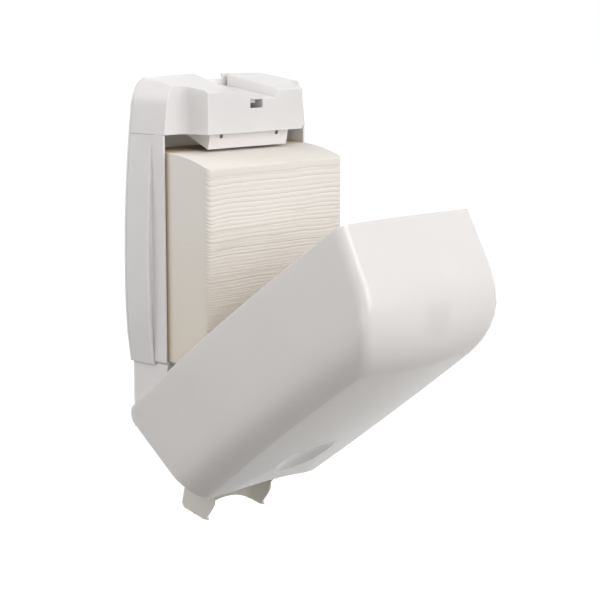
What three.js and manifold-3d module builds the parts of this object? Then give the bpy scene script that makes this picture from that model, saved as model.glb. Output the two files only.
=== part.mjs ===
// Wall dispenser for folded paper towels, shown with its cover swung open.
// Millimetres, +Z up. The origin lies on the wall face of the back plate, on the middle line.
// Pieces are drawn by x (across), depth (forward from the wall) and height (up from the hinge axis).
import * as THREE from 'three';
import { mergeVertices } from 'three/addons/utils/BufferGeometryUtils.js';
import Module from 'manifold-3d';

const wasm = await Module();
wasm.setup();

// Driving dimensions
const originRise = 190;
const wall = 2.3;
const gap = 0.3;
const overrun = 6;
const hingeDepth = 10.8;
const openAngle = THREE.MathUtils.degToRad(53.2);

// Folded towels, which set the width of everything round them
const stackHalf = 108;
const stackRoom = 12.5;
const stackBack = 13.5;
const stackDepth = 110.5;
const stackFront = stackBack + stackDepth;
const stackCorner = 7;
const packetThickness = 5.6;

// Barrel-shaped outline of the housing, seen from the front
const housingHalf = stackHalf + stackRoom;
const widestHeight = 160;
const skinBottom = 60;
const upperReach = 180;
const upperDraw = 11.3;
const lowerReach = widestHeight - skinBottom;
const lowerDraw = 7;
const upperBend = 2;
const lowerBend = 2.5;
const housingTop = 381;
const shoulderDrop = 1.4;
const housingShoulder = housingTop - shoulderDrop;
const shoulderInset = 36.5;
const shoulderHalf = housingHalf - shoulderInset;
const cornerDrop = 31;
const cornerStart = housingTop - cornerDrop;
const cornerPullInset = 17.5;
const cornerPullHalf = housingHalf - cornerPullInset;
const cornerPullDrop = 3;
const cornerPullHeight = housingTop - cornerPullDrop;

// Depths and levels shared between pieces
const plateThickness = 3;
const skinDepth = 39.5;
const rimReach = 19.3;
const rimDepth = skinDepth + rimReach;
const rimInset = 7.9;
const rimHalf = housingHalf - rimInset;
const rimRise = 4;
const rimBottom = skinBottom + rimRise;
const blockHeight = 63;
const blockBottom = housingTop - blockHeight;
const blockDepth = 90.7;
const cheekStep = 1.2;
const cheekDepth = rimDepth + cheekStep;
const topSlope = 0.166;
const shelfRise = 5;
const shelfTop = skinBottom + shelfRise;
const shelfDepth = 112;
const footInset = 9.5;
const footHalf = housingHalf - footInset;
const footBottom = 12.7;
const footCorner = 4;
const flangeWidth = 14;

// Channel in the top of the lock block
const channelHalf = 34.5;
const rampFrontTop = -38;
const rampFrontFoot = -9;
const rampBackTop = -12;
const rampBackFoot = 12;
const channelDrop = 26;
const channelFloor = housingTop - channelDrop;
const channelSlope = 0.138;
const channelTopRise = 40;
const plateNotchDrop = 6.5;
const plateNotchFloor = housingTop - plateNotchDrop;
const pocketWidth = 6.2;
const pocketHalf = channelHalf + pocketWidth;
const pocketDepth = 8.7;
const plateNotchHalf = 32;

// Cover, drawn closed and then swung open
const coverGap = 1.5;
const coverBack = 0.5;
const coverTopRise = 6.2;
const coverTop = housingTop + coverTopRise;
const coverCrown = 1.8;
const coverTopSlope = 0.173;
const coverEdge = 13;
const coverCorner = 31;
const coverBrow = 62;
const coverReach = 36.3;
const coverDepth = blockDepth + coverReach;
const coverBulge = 12.5;
const bulgeHalf = 140;
const bulgeStart = 45;
const coverLow = -22;
const coverStraightBelow = 22;
const coverLowerDraw = 5.1;
const heelRadius = 13.2;
const undersideSlope = Math.tan(THREE.MathUtils.degToRad(15.5));
const undersideSetback = 12.3;
const undersideFront = coverDepth - undersideSetback;
const chinSetback = 3;
const chinFront = coverDepth - chinSetback;
const chinHeight = 16;
const chinArchHalf = 84;
const chinArchTop = 33;
const dishRadius = 40;
const dishSink = 5;
const dishHeight = 98;

// Hinge
const pinRadius = 3;
const pinHead = 5;
const pinHeadThickness = 2.4;
const runningFit = 0.15;
const lugRadius = 9;
const lugThickness = 8;
const bossInset = 2;
const bossStart = footHalf - bossInset;
const lugSlack = 0.5;
const lugOuter = bossStart - lugSlack;
const bossRadius = 8;

const pinTipReach = 2.4;
const pinTipHalf = coverBarrelHalf(0) + pinTipReach;
const pinSides = 24;


const tau = Math.PI * 2;
const across = new THREE.Matrix4().makeBasis(
  new THREE.Vector3(0, -1, 0), new THREE.Vector3(0, 0, 1), new THREE.Vector3(-1, 0, 0));
const onward = new THREE.Matrix4().makeBasis(
  new THREE.Vector3(1, 0, 0), new THREE.Vector3(0, 0, 1), new THREE.Vector3(0, -1, 0));
const downward = new THREE.Matrix4().makeBasis(
  new THREE.Vector3(1, 0, 0), new THREE.Vector3(0, -1, 0), new THREE.Vector3(0, 0, -1));

// Closed mesh to solid
function toSolid(geometry) {
  geometry.deleteAttribute('normal');
  geometry.deleteAttribute('uv');
  const merged = mergeVertices(geometry);
  const vertProperties = new Float32Array(merged.attributes.position.array);
  const triVerts = new Uint32Array(merged.index.array);
  return new wasm.Manifold(new wasm.Mesh({ numProp: 3, vertProperties, triVerts }));
}

function outline(points) {
  return new THREE.Shape(points.map(([u, v]) => new THREE.Vector2(u, v)));
}

function extrude(shape, from, to, frame, curveSegments) {
  const geometry = new THREE.ExtrudeGeometry(shape, { depth: to - from, bevelEnabled: false,
    curveSegments });
  geometry.translate(0, 0, from);
  geometry.applyMatrix4(frame);
  return toSolid(geometry);
}

// Shape drawn in (depth, height), thick across x
function sideways(shape, x0, x1, curveSegments = 6) {
  return extrude(shape, -x1, -x0, across, curveSegments);
}

// Shape drawn in (x, height), thick along the depth
function forwards(shape, depth0, depth1, curveSegments = 6) {
  return extrude(shape, depth0, depth1, onward, curveSegments);
}

// Shape drawn in (x, depth), thick in height
function upwards(shape, height0, height1, curveSegments = 6) {
  return extrude(shape, -height1, -height0, downward, curveSegments);
}

function box(x0, x1, depth0, depth1, height0, height1) {
  const geometry = new THREE.BoxGeometry(x1 - x0, depth1 - depth0, height1 - height0);
  geometry.translate((x0 + x1) / 2, -(depth0 + depth1) / 2, (height0 + height1) / 2);
  return toSolid(geometry);
}

// Round bar across x
function bar(x0, x1, depth, height, radius, sides = pinSides) {
  const geometry = new THREE.CylinderGeometry(radius, radius, Math.abs(x1 - x0), sides);
  geometry.rotateZ(-Math.PI / 2);
  geometry.translate((x0 + x1) / 2, -depth, height);
  return toSolid(geometry);
}

// Round post in height
function post(x, depth, height0, height1, radius, sides = 12) {
  const geometry = new THREE.CylinderGeometry(radius, radius, height1 - height0, sides);
  geometry.rotateX(Math.PI / 2);
  geometry.translate(x, -depth, (height0 + height1) / 2);
  return toSolid(geometry);
}

function join(solids) {
  return solids.reduce((whole, solid) => whole.add(solid));
}

function cut(solid, cutters) {
  return cutters.reduce((whole, cutter) => whole.subtract(cutter), solid);
}

// Half-width of the housing at a height
function barrelHalf(height) {
  const reach = height > widestHeight ? upperReach : lowerReach;
  const draw = height > widestHeight ? upperDraw : lowerDraw;
  const bend = height > widestHeight ? upperBend : lowerBend;
  return housingHalf - draw * (Math.abs(height - widestHeight) / reach) ** bend;
}

// Right half of the housing outline from a height up to the middle of the top
function barrelHalfPoints(bottom, inset, steps) {
  const points = [];
  for (let step = 0; step <= steps; step += 1) {
    const height = bottom + (cornerStart - bottom) * step / steps;
    points.push([barrelHalf(height) - inset, height]);
  }
  const corner = new THREE.QuadraticBezierCurve(
    new THREE.Vector2(barrelHalf(cornerStart) - inset, cornerStart),
    new THREE.Vector2(cornerPullHalf - inset, cornerPullHeight - inset),
    new THREE.Vector2(shoulderHalf - inset, housingShoulder - inset));
  corner.getPoints(6).slice(1).forEach((point) => points.push([point.x, point.y]));
  points.push([0, housingTop - inset]);
  return points;
}

function barrelOutline(bottom, inset, steps = 9) {
  const right = barrelHalfPoints(bottom, inset, steps);
  const left = right.slice(0, -1).reverse().map(([x, height]) => [-x, height]);
  return outline([...right, ...left]);
}

// Wood-screw shape: a flat round head and a shank, its tip in the given direction
const screwHead = 3.2;
const screwHeadThickness = 1.8;
const screwShank = 1.5;
const screwSides = 8;

function screwForm(at, direction, shankLength, clearance) {
  const tip = screwHeadThickness + shankLength + clearance;
  const profile = [[0, -clearance], [screwHead + clearance, -clearance],
    [screwHead + clearance, screwHeadThickness], [screwShank + clearance, screwHeadThickness],
    [screwShank + clearance, tip], [0, tip]];
  const geometry = new THREE.LatheGeometry(profile.map(([u, v]) => new THREE.Vector2(u, v)), screwSides);
  const turn = new THREE.Quaternion().setFromUnitVectors(new THREE.Vector3(0, 1, 0), direction);
  geometry.applyQuaternion(turn);
  geometry.translate(at.x, -at.depth, at.height);
  return toSolid(geometry);
}

const toWall = new THREE.Vector3(0, 1, 0);
const toTop = new THREE.Vector3(0, 0, 1);

function screwSet(places, direction, shankLength) {
  return {
    solids: places.map((at) => screwForm(at, direction, shankLength, 0)),
    bores: places.map((at) => screwForm(at, direction, shankLength, gap / 2)),
  };
}

// Screws that carry the side panels and the lock block on the back plate
const panelFlange = { front: plateThickness + gap + wall, inset: 7 };
const panelScrewMargins = [50, 38];
const panelScrewHeights = [skinBottom + panelScrewMargins[0], blockBottom - panelScrewMargins[1]];
const blockScrewInsets = [18.5, 58.5];
const blockScrewDrops = [45, 8.5];
const blockScrewPlaces = blockScrewInsets.map((inset, index) => (
  [housingHalf - inset, housingTop - blockScrewDrops[index]]));
const plateBite = 2.2;
const plateScrewLength = wall + gap + plateBite;

function plateScrew(x, height) {
  return { x, depth: panelFlange.front + screwHeadThickness, height };
}

const housingScrewPlaces = [1, -1].flatMap((side) => [
  ...panelScrewHeights.map((height) => plateScrew(side * (barrelHalf(height) - wall - panelFlange.inset),
    height)),
  ...blockScrewPlaces.map(([x, height]) => plateScrew(side * x, height)),
]);
const housingScrewSet = screwSet(housingScrewPlaces, toWall, plateScrewLength);

// Screws that carry the shelf and the hinge brackets on the back plate
const shelfThickness = 3;
const shelfFlangeDrop = 17;
const shelfScrewHeight = shelfTop - shelfThickness - shelfFlangeDrop / 2;
const shelfFrontInset = 8.6;
const shelfFrontHalf = rimHalf - shelfFrontInset;
const shelfFlangeInset = 36;
const shelfFlangeHalf = shelfFrontHalf - shelfFlangeInset;
const shelfScrewInsets = [48, 10];
const shelfScrewHalves = shelfScrewInsets.map((inset) => shelfFlangeHalf - inset);
const shelfScrewPlaces = [1, -1].flatMap((side) => shelfScrewHalves.map((x) => plateScrew(side * x,
  shelfScrewHeight)));
const shelfScrewSet = screwSet(shelfScrewPlaces, toWall, plateScrewLength);
const bracketScrewInset = 32;
const bracketScrewHalf = footHalf - bracketScrewInset;
const bracketScrewHeights = [24, 48];
const bracketScrewPlaces = [1, -1].flatMap((side) => (
  bracketScrewHeights.map((height) => plateScrew(side * bracketScrewHalf, height))));
const bracketScrewSet = screwSet(bracketScrewPlaces, toWall, plateScrewLength);

// Back plate with two pairs of keyholes and a notch behind the channel
const keyholeInset = 50.5;
const keyholeHalf = housingHalf - keyholeInset;
const keyholeRise = 58;
const keyholeHeights = [skinBottom + keyholeRise, blockBottom];
const keyholeHead = 6;
const keyholeSlot = 2.75;
const keyholeRun = 12;

function keyhole(x, height) {
  const round = new THREE.Shape();
  round.absarc(x, height, keyholeHead, 0, tau);
  const slot = box(x - keyholeSlot, x + keyholeSlot, -overrun, plateThickness + overrun, height,
    height + keyholeRun);
  return forwards(round, -overrun, plateThickness + overrun, 10).add(slot);
}

function backPlate() {
  const upper = forwards(barrelOutline(skinBottom, 0), 0, plateThickness);
  const lowerHalf = lugOuter - lugThickness - wall;
  const lower = box(-lowerHalf, lowerHalf, 0, plateThickness, footBottom, skinBottom + wall);
  const notch = box(rampBackTop, plateNotchHalf, -overrun, plateThickness + overrun,
    plateNotchFloor, housingTop + overrun);
  const keyholes = [1, -1].flatMap((side) => keyholeHeights.map((height) => keyhole(side * keyholeHalf,
    height)));
  const bores = [...housingScrewSet.bores, ...shelfScrewSet.bores, ...bracketScrewSet.bores];
  return cut(upper.add(lower), [notch, ...keyholes, ...bores]);
}

// Side panel: a barrel skin, a step inward and a rim, with a flange along the back plate
function sidePanel(side) {
  const start = plateThickness + gap;
  const top = blockBottom - gap;
  const skin = forwards(barrelOutline(skinBottom, 0), start, skinDepth);
  const hollow = forwards(barrelOutline(skinBottom - overrun, wall), panelFlange.front, skinDepth - wall);
  const mouthInset = wall + flangeWidth;
  const mouth = forwards(barrelOutline(skinBottom - overrun, mouthInset), start - overrun,
    panelFlange.front + overrun);
  const doorway = box(-rimHalf + wall, rimHalf - wall, skinDepth - wall - overrun, rimDepth + overrun,
    rimBottom - overrun - wall, housingTop);
  const rim = box(rimHalf - wall, rimHalf, skinDepth - wall, rimDepth, rimBottom, top);
  const mirroredRim = box(-rimHalf, -rimHalf + wall, skinDepth - wall, rimDepth, rimBottom, top);
  const shelfRoom = box(-rimHalf + wall, rimHalf - wall, 0, panelFlange.front + overrun,
    skinBottom - overrun,
    shelfTop + gap);
  const ring = cut(skin, [hollow, mouth, doorway, shelfRoom]).add(side > 0 ? rim : mirroredRim);
  const keep = side > 0
    ? box(gap, housingHalf + overrun, 0, rimDepth + overrun, skinBottom - overrun, top)
    : box(-housingHalf - overrun, -gap, 0, rimDepth + overrun, skinBottom - overrun, top);
  return cut(ring.intersect(keep), housingScrewSet.bores);
}

// Plan of the lock block, drawn in (x, depth)
const blockFrontInset = 45.5;
const blockFrontHalf = housingHalf - blockFrontInset;
const blockRootReach = 13.5;
const blockRootHalf = blockFrontHalf + blockRootReach;
const blockFootReach = 5;
const blockFootPull = blockFrontHalf + blockFootReach;
const blockNoseReach = 2.5;
const blockNosePull = blockFrontHalf + blockNoseReach;
const blockNoseSetback = 11.7;
const blockNosePullDepth = blockDepth - blockNoseSetback;
const blockBrow = 6;
const blockBrowDrop = 2.2;

function blockPlan(inset) {
  const wide = housingHalf + overrun;
  const right = new THREE.CubicBezierCurve(
    new THREE.Vector2(blockRootHalf - inset, cheekDepth - inset),
    new THREE.Vector2(blockFootPull - inset, cheekDepth - inset),
    new THREE.Vector2(blockNosePull - inset, blockNosePullDepth - inset),
    new THREE.Vector2(blockFrontHalf - inset, blockDepth - inset)).getPoints(8).map((point) => [point.x,
      point.y]);
  const left = right.slice().reverse().map(([x, depth]) => [-x, depth]);
  const back = plateThickness + gap;
  return outline([[-wide, back], [wide, back], [wide, cheekDepth - inset], ...right, ...left,
    [-wide, cheekDepth - inset]]);
}

// Everything below the sloping top of the block
function belowTop(inset) {
  const fall = (depth) => housingTop - depth * topSlope - inset;
  const back = -overrun;
  const front = blockDepth - inset;
  const brow = front - blockBrow;
  return sideways(outline([[back, blockBottom - overrun * 2], [front, blockBottom - overrun * 2],
    [front, fall(front) - blockBrowDrop], [brow, fall(brow)], [back, fall(back)]]),
  -housingHalf - overrun, housingHalf + overrun);
}

function blockBody(inset, bottom) {
  const barrel = forwards(barrelOutline(bottom, inset, 3), 0, blockDepth + overrun);
  const plan = upwards(blockPlan(inset), bottom, housingTop + overrun);
  return plan.intersect(barrel).intersect(belowTop(inset));
}

// Floor of the channel at a depth
function channelFloorAt(depth) {
  return channelFloor + (blockDepth - depth) * channelSlope;
}

// Outline of the channel at a depth: a ramp on the left, an upright wall on the right
function channelSection(depth, grow) {
  const share = depth / blockDepth;
  const top = housingTop - depth * topSlope;
  const floor = channelFloorAt(depth) - grow;
  const rampTop = rampBackTop + (rampFrontTop - rampBackTop) * share - grow;
  const rampFoot = rampBackFoot + (rampFrontFoot - rampBackFoot) * share - grow;
  return [[rampFoot, floor], [channelHalf + grow, floor], [channelHalf + grow, floor + channelTopRise],
    [rampTop, floor + channelTopRise], [rampTop, top]].map(([x, height]) => [x, -depth, height]);
}

// Channel cutter; grow makes room for its walls
function channelForm(grow) {
  const front = channelSection(blockDepth + overrun, grow);
  const back = channelSection(-overrun, grow);
  const count = front.length;
  const triangles = [];
  for (let at = 0; at < count; at += 1) {
    const next = (at + 1) % count;
    triangles.push(at, at + count, next, next, at + count, next + count);
  }
  const faces = THREE.ShapeUtils.triangulateShape(front.map(([x, , height]) => new THREE.Vector2(x,
    height)), []);
  faces.forEach(([a, b, c]) => {
    triangles.push(a, b, c, a + count, c + count, b + count);
  });
  const geometry = new THREE.BufferGeometry();
  geometry.setAttribute('position', new THREE.Float32BufferAttribute([...front, ...back].flat(), 3));
  geometry.setIndex(triangles);
  return toSolid(geometry);
}

// Lock lever and what carries it, below the channel floor
const leverPivotDepth = 45;
const leverDrop = 4.5;
const leverPivotHeight = channelFloor - leverDrop;
const leverPinRadius = 1.5;
const leverHub = 3.5;
const leverHalf = 4;
const leverRise = 2.1;
const leverUnder = leverPivotHeight + leverRise;
const leverThickness = 1.8;
const leverNoseSetback = 10.7;
const leverNoseStart = blockDepth - leverNoseSetback;
const leverNoseLength = 4.5;
const leverNoseEnd = leverNoseStart + leverNoseLength;
const leverNoseDrop = 2.5;
const leverNoseUnder = leverUnder - leverNoseDrop;
const padBack = 14;
const padLength = 12;
const padFront = padBack + padLength;
const padHalf = 6;
const padSlack = 1;
const earInner = 9;
const earThickness = 3;
const earDrop = 5;
const notchHalf = 9.7;
const notchDrop = 5.7;
const notchLow = leverPivotHeight - notchDrop;
const notchHeight = 9.6;
const notchHigh = notchLow + notchHeight;
const padTop = channelFloorAt(padFront);
const retainerBossRadius = 4;
const retainerBossInset = 20;
const retainerBossHalf = blockFrontHalf - retainerBossInset;
const retainerBossDepth = 40;
const retainerRise = 3.3;
const retainerTop = blockBottom + retainerRise;
const detentThickness = 0.6;
const detentTop = leverPivotHeight - leverHub - gap;
const detentBossX = 11;
const detentBossReach = 15;
const detentBossDepth = leverPivotDepth + detentBossReach;
const detentBossRadius = 3;
const detentScrewLength = 6;
const retainerScrewLength = 9;

const retainerScrewPlaces = [1, -1].map((side) => ({
  x: side * retainerBossHalf,
  depth: retainerBossDepth,
  height: retainerTop - wall - screwHeadThickness,
}));
const retainerScrewSet = screwSet(retainerScrewPlaces, toTop, retainerScrewLength);
const detentScrewPlace = {
  x: detentBossX,
  depth: detentBossDepth,
  height: detentTop - detentThickness - screwHeadThickness,
};
const detentScrewSet = screwSet([detentScrewPlace], toTop, detentScrewLength);

function topHousing() {
  const start = plateThickness + gap;
  const shell = blockBody(0, blockBottom).subtract(channelForm(0));
  const pocket = box(channelHalf - wall, pocketHalf, 0, pocketDepth, channelFloorAt(pocketDepth),
    housingTop + overrun);
  const hollow = blockBody(wall, blockBottom - overrun)
    .subtract(channelForm(wall))
    .subtract(box(channelHalf, pocketHalf + wall, 0, pocketDepth + wall, channelFloorAt(pocketDepth) - wall,
      housingTop + overrun))
    .subtract(box(-housingHalf, housingHalf, 0, panelFlange.front, blockBottom - overrun, housingTop));
  const mouth = forwards(barrelOutline(blockBottom - overrun, wall + flangeWidth, 3), start - overrun,
    panelFlange.front + overrun).subtract(channelForm(wall));
  const notch = box(-notchHalf, notchHalf, blockDepth - wall - overrun / 2, blockDepth + overrun,
    notchLow, notchHigh);
  const padSlot = box(-padHalf - padSlack, padHalf + padSlack, padBack - padSlack, padFront + padSlack,
    channelFloor, housingTop);
  const ears = [1, -1].map((side) => {
    const edges = [side * earInner, side * (earInner + earThickness)].sort((a, b) => a - b);
    return box(edges[0], edges[1], leverPivotDepth - earDrop, leverPivotDepth + earDrop,
      leverPivotHeight - earDrop, housingTop).subtract(channelForm(wall / 2));
  });
  const bosses = [1, -1].map((side) => post(side * retainerBossHalf, retainerBossDepth, retainerTop + gap,
    housingTop - retainerBossDepth * topSlope - wall, retainerBossRadius));
  const detentBoss = post(detentBossX, detentBossDepth, detentTop + gap,
    channelFloorAt(detentBossDepth) - wall / 2, detentBossRadius);
  const pinBore = bar(-earInner - earThickness - overrun, earInner + earThickness + overrun,
    leverPivotDepth,
    leverPivotHeight, leverPinRadius + gap / 2);
  const leverRoom = box(-leverHalf - gap, leverHalf + gap, leverPivotDepth, leverNoseEnd + gap, leverUnder,
    leverUnder + leverThickness + gap);
  const whole = join([cut(shell, [hollow, mouth, pocket]), ...ears, ...bosses, detentBoss]);
  return cut(whole, [notch, padSlot, leverRoom, pinBore, ...housingScrewSet.bores,
    ...retainerScrewSet.bores,
    ...detentScrewSet.bores]);
}

// Retainer below the block: a closing plate, a leaning tab with two windows and wedge gussets
const tabInset = 12.7;
const tabHalf = blockFrontHalf - tabInset;
const tabSetback = 10.3;
const tabTopDepth = blockDepth - tabSetback;
const tabLean = 3.8;
const tabLowDepth = tabTopDepth - tabLean;
const tabDrop = 17.5;
const tabLow = blockBottom - tabDrop;
const tabThickness = 2;
const tabWindow = 2.5;
const tabWindowInset = 18.3;
const tabWindowHalf = tabHalf - tabWindowInset;
const tabWindowDrop = 3;
const tabWindowHeight = blockBottom - tabWindowDrop;
const gussetRun = 48;
const retainerInset = 5;
const retainerHalf = blockFrontHalf - retainerInset;
const retainerBack = 9;

function towelRetainer() {
  const under = retainerTop - wall;
  const plate = box(-retainerHalf, retainerHalf, retainerBack, blockDepth - wall - gap, under, retainerTop);
  const lean = (tabTopDepth - tabLowDepth) / (blockBottom - tabLow);
  const topDepth = tabTopDepth + (under - blockBottom) * lean;
  const tab = sideways(outline([[tabLowDepth - tabThickness, tabLow], [tabLowDepth, tabLow],
    [topDepth, under + wall / 2], [topDepth - tabThickness, under + wall / 2]]), -tabHalf, tabHalf);
  const gusset = outline([[tabLowDepth - tabThickness / 2, tabLow], [topDepth - tabThickness / 2,
    under + wall / 2],
    [topDepth - gussetRun, under + wall / 2]]);
  const gussets = [sideways(gusset, tabHalf - tabThickness, tabHalf), sideways(gusset, -tabHalf,
    tabThickness - tabHalf)];
  const windows = [1, -1].map((side) => box(side * tabWindowHalf - tabWindow,
    side * tabWindowHalf + tabWindow,
    tabLowDepth - tabThickness - overrun, tabTopDepth + overrun, tabWindowHeight - tabWindow,
    tabWindowHeight + tabWindow));
  return cut(join([plate, tab, ...gussets]), [...windows, ...retainerScrewSet.bores]);
}

function lockLever() {
  const arm = box(-leverHalf, leverHalf, padBack, leverNoseEnd, leverUnder, leverUnder + leverThickness);
  const nose = box(-leverHalf, leverHalf, leverNoseStart, leverNoseEnd, leverNoseUnder,
    leverUnder + leverThickness);
  const hubHalf = earInner - gap;
  const hub = bar(-hubHalf, hubHalf, leverPivotDepth, leverPivotHeight, leverHub);
  const pad = box(-padHalf, padHalf, padBack, padFront, leverUnder, padTop);
  const bore = bar(-hubHalf - overrun, hubHalf + overrun, leverPivotDepth, leverPivotHeight,
    leverPinRadius + runningFit);
  return join([arm, nose, hub, pad]).subtract(bore);
}

function leverPin() {
  const half = earInner + earThickness;
  return bar(-half, half, leverPivotDepth, leverPivotHeight, leverPinRadius);
}

function detentSpring() {
  const low = detentTop - detentThickness;
  const front = detentBossDepth + screwHead + gap;
  const leaf = box(-leverHalf, leverHalf, leverPivotDepth - leverHub, front, low, detentTop);
  const foot = box(-leverHalf, detentBossX + screwHead + gap, leverPivotDepth + earDrop + gap, front,
    low, detentTop);
  return leaf.add(foot).subtract(join(detentScrewSet.bores));
}

// Towel shelf: wide at the wall, narrower in front, with a slot that the towels are drawn through
const shelfWideHalf = rimHalf - wall - gap;
const slotInset = 32;
const slotHalf = shelfFrontHalf - slotInset;
const slotBack = 66;
const slotFront = 100;
const slotCorner = 8;
const shelfCorner = 6;

function roundedRectangle(u0, u1, v0, v1, radius) {
  const shape = new THREE.Shape();
  shape.moveTo(u0 + radius, v0);
  shape.lineTo(u1 - radius, v0);
  shape.absarc(u1 - radius, v0 + radius, radius, -Math.PI / 2, 0);
  shape.lineTo(u1, v1 - radius);
  shape.absarc(u1 - radius, v1 - radius, radius, 0, Math.PI / 2);
  shape.lineTo(u0 + radius, v1);
  shape.absarc(u0 + radius, v1 - radius, radius, Math.PI / 2, Math.PI);
  shape.lineTo(u0, v0 + radius);
  shape.absarc(u0 + radius, v0 + radius, radius, Math.PI, Math.PI * 3 / 2);
  return shape;
}

function towelShelf() {
  const under = shelfTop - shelfThickness;
  const back = plateThickness + gap;
  const wide = box(-shelfWideHalf, shelfWideHalf, back, rimDepth, under, shelfTop);
  const front = upwards(roundedRectangle(-shelfFrontHalf, shelfFrontHalf, back, shelfDepth, shelfCorner),
    under, shelfTop, 4);
  const flange = box(-shelfFlangeHalf, shelfFlangeHalf, back, panelFlange.front, under - shelfFlangeDrop,
    shelfTop);
  const lip = box(-slotHalf, slotHalf, slotFront, slotFront + wall, under - wall * 2, shelfTop);
  const slot = upwards(roundedRectangle(-slotHalf, slotHalf, slotBack, slotFront, slotCorner),
    under - overrun * 2, shelfTop + overrun, 4);
  return cut(join([wide, front, flange, lip]), [slot, ...shelfScrewSet.bores]);
}

// Hinge bracket: the cheek below the skin, a flange on the plate, the hinge lug and the opening stop
const stopInset = 37;
const stopHalf = footHalf - stopInset;
const stopLow = -18;
const bracketFlangeInset = 40;
const bracketFlangeHalf = footHalf - bracketFlangeInset;
const webInset = 23;
const webHalf = footHalf - webInset;

// Closed place to its place when the cover is open
function opened(depth, height) {
  const reach = depth - hingeDepth;
  return [hingeDepth + reach * Math.cos(openAngle) + height * Math.sin(openAngle),
    height * Math.cos(openAngle) - reach * Math.sin(openAngle)];
}

// Underside of the closed cover at a depth
function undersideHeight(depth) {
  return -heelRadius + (depth - heelRadius - coverBack) * undersideSlope;
}

const floorBack = 16;
const stopFront = opened(floorBack, undersideHeight(floorBack))[0] - gap;

function hingeBracket(side) {
  const top = shelfTop - shelfThickness - gap;
  const round = new THREE.Shape();
  const centre = footHalf - footCorner;
  round.moveTo(centre, gap);
  round.absarc(centre, footCorner + gap, footCorner, -Math.PI / 2, 0);
  round.lineTo(footHalf, rimDepth);
  round.lineTo(footHalf - wall, rimDepth);
  round.lineTo(footHalf - wall, footCorner + gap);
  round.absarc(centre, footCorner + gap, footCorner - wall, 0, -Math.PI / 2, true);
  const cheek = upwards(round, footBottom, top, 5);
  const joint = box(centre - wall, centre + wall, gap, panelFlange.front, footBottom, top);
  const flange = box(bracketFlangeHalf, centre + wall, plateThickness + gap, panelFlange.front,
    footBottom, top);
  const web = box(webHalf, footHalf - wall / 2, plateThickness + gap, rimDepth, top - wall, top);
  const lugInner = lugOuter - lugThickness;
  const lug = bar(lugInner, lugOuter, hingeDepth, 0, lugRadius);
  const neck = box(lugInner, lugOuter, hingeDepth - lugRadius, hingeDepth + lugRadius, 0,
    footBottom + lugRadius);
  const tie = box(lugInner, footHalf - wall / 2, hingeDepth + lugRadius - lugThickness,
    hingeDepth + lugRadius,
    footBottom, footBottom + lugRadius);
  const stop = box(stopHalf, lugOuter, 0, stopFront, stopLow, footBottom - gap);
  const bore = bar(lugInner - overrun, lugOuter + overrun, hingeDepth, 0, pinRadius + gap / 2);
  const plateRoom = box(0, footHalf + overrun, 0, plateThickness + gap, skinBottom - gap, top + overrun);
  const panelRoom = box(rimHalf - wall - gap, footHalf + overrun, 0, rimDepth + overrun,
    skinBottom - gap, top + overrun);
  const whole = cut(join([cheek, joint, flange, web, lug, neck, tie, stop]), [bore, plateRoom, panelRoom]);
  const placed = side > 0 ? whole : whole.mirror([1, 0, 0]);
  return cut(placed, bracketScrewSet.bores);
}

function hingePin(side) {
  const headInner = lugOuter - lugThickness - gap - pinHeadThickness;
  const head = bar(side * headInner, side * (headInner + pinHeadThickness), hingeDepth, 0, pinHead);
  const shaft = bar(side * headInner, side * pinTipHalf, hingeDepth, 0, pinRadius);
  return head.add(shaft);
}

// Closed cover form. Insetting gives the inside of its wall.
const browShares = [0, 0.2, 0.38, 0.52, 0.63, 0.72, 0.79, 0.855, 0.91, 0.955, 1];
const capShares = [0.8, 0.6, 0.4, 0.2];

// Half-width that the cover wraps: straight at the bottom, where the housing draws in more
function coverBarrelHalf(height) {
  if (height > widestHeight) {
    return barrelHalf(height);
  }
  const down = (widestHeight - Math.max(height, coverStraightBelow)) / lowerReach;
  return housingHalf - coverLowerDraw * down * down;
}

function coverRing(depth, sideInset, topInset, inset, heightSteps) {
  const top = coverTop - depth * coverTopSlope - topInset - inset;
  const edge = coverEdge - inset;
  const sideGrow = coverGap + wall - inset - sideInset;
  const cornerLow = top - edge;
  const half = (height) => coverBarrelHalf(height) + sideGrow;
  const points = [];
  for (let step = 0; step <= heightSteps; step += 1) {
    const height = coverLow + (cornerLow - coverLow) * step / heightSteps;
    points.push([half(height), height]);
  }
  const centre = half(cornerLow) - edge;
  const arcSteps = 4;
  for (let step = 1; step <= arcSteps; step += 1) {
    const turn = Math.PI / 2 * step / arcSteps;
    points.push([centre + edge * Math.cos(turn), cornerLow + edge * Math.sin(turn)]);
  }
  const crownSteps = 4;
  for (let step = 1; step < crownSteps; step += 1) {
    const share = 1 - step / crownSteps;
    points.push([centre * share, top + coverCrown * (1 - share * share)]);
  }
  points.push([0, top + coverCrown]);
  const left = points.slice(0, -1).reverse().map(([x, height]) => [-x, height]);
  return [...points, ...left].map(([x, height]) => [x, depth, height]);
}

// Forward swell of the cover's front
function swell(x, depth) {
  const rise = Math.max(0, (depth - bulgeStart) / (coverDepth - bulgeStart)) ** 2;
  const fade = Math.max(0, 1 - (x / bulgeHalf) ** 2);
  return coverBulge * rise * fade;
}

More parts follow.
